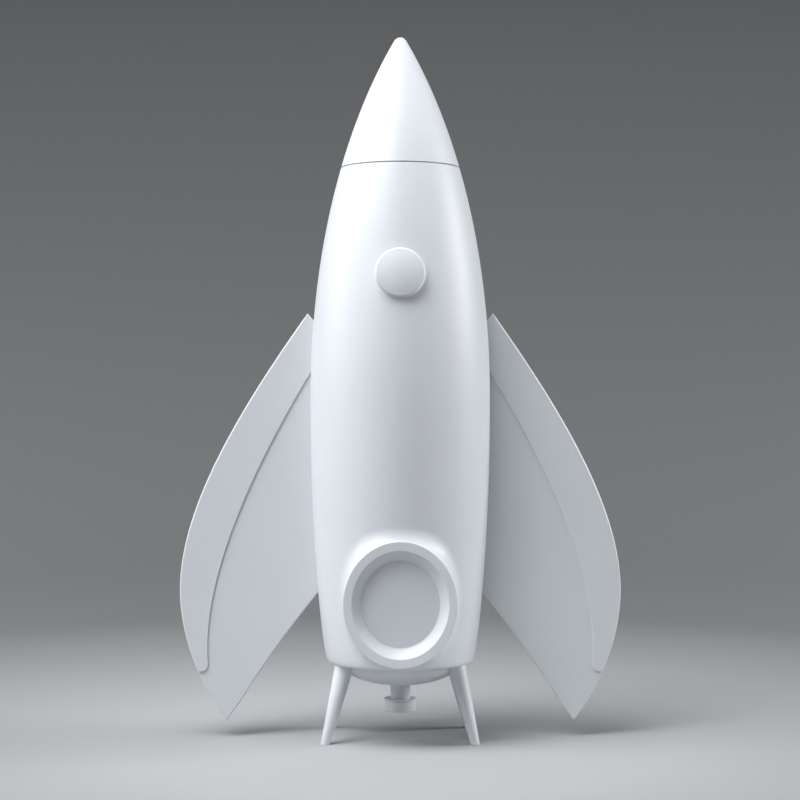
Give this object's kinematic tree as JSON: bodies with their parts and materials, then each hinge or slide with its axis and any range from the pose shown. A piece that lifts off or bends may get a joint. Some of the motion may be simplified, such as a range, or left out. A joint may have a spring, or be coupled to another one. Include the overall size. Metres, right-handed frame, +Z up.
{
  "type": "model rocket",
  "caption": "Upright model rocket with a bulbous fuselage, pull-off nose cone, swept side fins, round portholes, splayed landing legs and a screw-on motor retainer.",
  "frame": {"origin": "on the ground under the rocket's axis, midway between the feet", "axes": "+Z up the rocket's axis to the nose tip, X across the two fins, the portholes face -Y"},
  "size_m": [0.3086, 0.1263, 0.4889],
  "materials": {
    "white_shell": "satin white moulded plastic",
    "inner_plastic": "matt unpainted white plastic",
    "pane": "satin opaque white pane",
    "fibre_board": "pressed fibre board",
    "kraft_tube": "spiral wound kraft paper",
    "steel_wire": "bright zinc wire",
    "gasket_rubber": "soft black foam rubber",
    "wadding_paper": "crumpled flameproof tissue",
    "clay": "matt pressed clay",
    "motor_charge": "pressed dark powder",
    "canopy_nylon": "thin woven ripstop canopy, rolled"
  },
  "bodies": {
    "airframe": {"fuselage_shell": "white_shell", "neck_ring": "inner_plastic", "forward_ring": "fibre_board", "middle_ring": "fibre_board", "rear_ring": "fibre_board", "stuffer_tube": "kraft_tube", "recovery_anchor": "steel_wire", "wadding": "wadding_paper", "motor_tube": "white_shell", "motor_ring_upper": "fibre_board", "motor_ring_lower": "fibre_board", "thrust_ring": "kraft_tube", "retainer_collar": "white_shell", "tail_plate": "fibre_board", "tail_dome": "white_shell", "leg_front_left": "white_shell", "leg_front_right": "white_shell", "leg_rear_left": "white_shell", "leg_rear_right": "white_shell", "fin_left": "white_shell", "fin_right": "white_shell", "fin_left_band_front": "white_shell", "fin_left_band_rear": "white_shell", "fin_right_band_front": "white_shell", "fin_right_band_rear": "white_shell", "launch_lug": "white_shell", "porthole_bezel": "white_shell", "porthole_pane": "pane", "porthole_gasket": "gasket_rubber", "porthole_backing_ring": "inner_plastic", "button_porthole": "white_shell", "button_clip": "steel_wire"},
    "nose": {"nose_cone": "white_shell", "nose_shoulder": "inner_plastic", "nose_eyelet": "steel_wire", "nose_ballast": "clay"},
    "parachute": {"parachute_pack": "canopy_nylon"},
    "motor": {"motor_casing": "kraft_tube", "motor_nozzle": "clay", "propellant_grain": "motor_charge", "delay_charge": "motor_charge", "ejection_cap": "clay"},
    "retainer": {"retainer_cap": "white_shell"}
  },
  "joints": [
    {"name": "nose_slide", "type": "slide", "parent": "airframe", "child": "nose", "axis": [0, 0, 1], "range_m": [0, 0.12]},
    {"name": "parachute_draw", "type": "slide", "parent": "airframe", "child": "parachute", "axis": [0, 0, 1], "range_m": [0, 0.12]},
    {"name": "motor_slide", "type": "slide", "parent": "airframe", "child": "motor", "axis": [0, 0, -1], "range_m": [0, 0.006]},
    {"name": "retainer_turn", "type": "hinge", "parent": "motor", "child": "retainer", "pos_m": [0, 0, 0.0181], "axis": [0, 0, -1], "range_deg": [0, 1440]}
  ],
  "couplings": [
    {"joint": "parachute_draw", "follows": "nose_slide", "ratio": 1},
    {"joint": "motor_slide", "follows": "retainer_turn", "m_per_rad": 0.0002387}
  ]
}
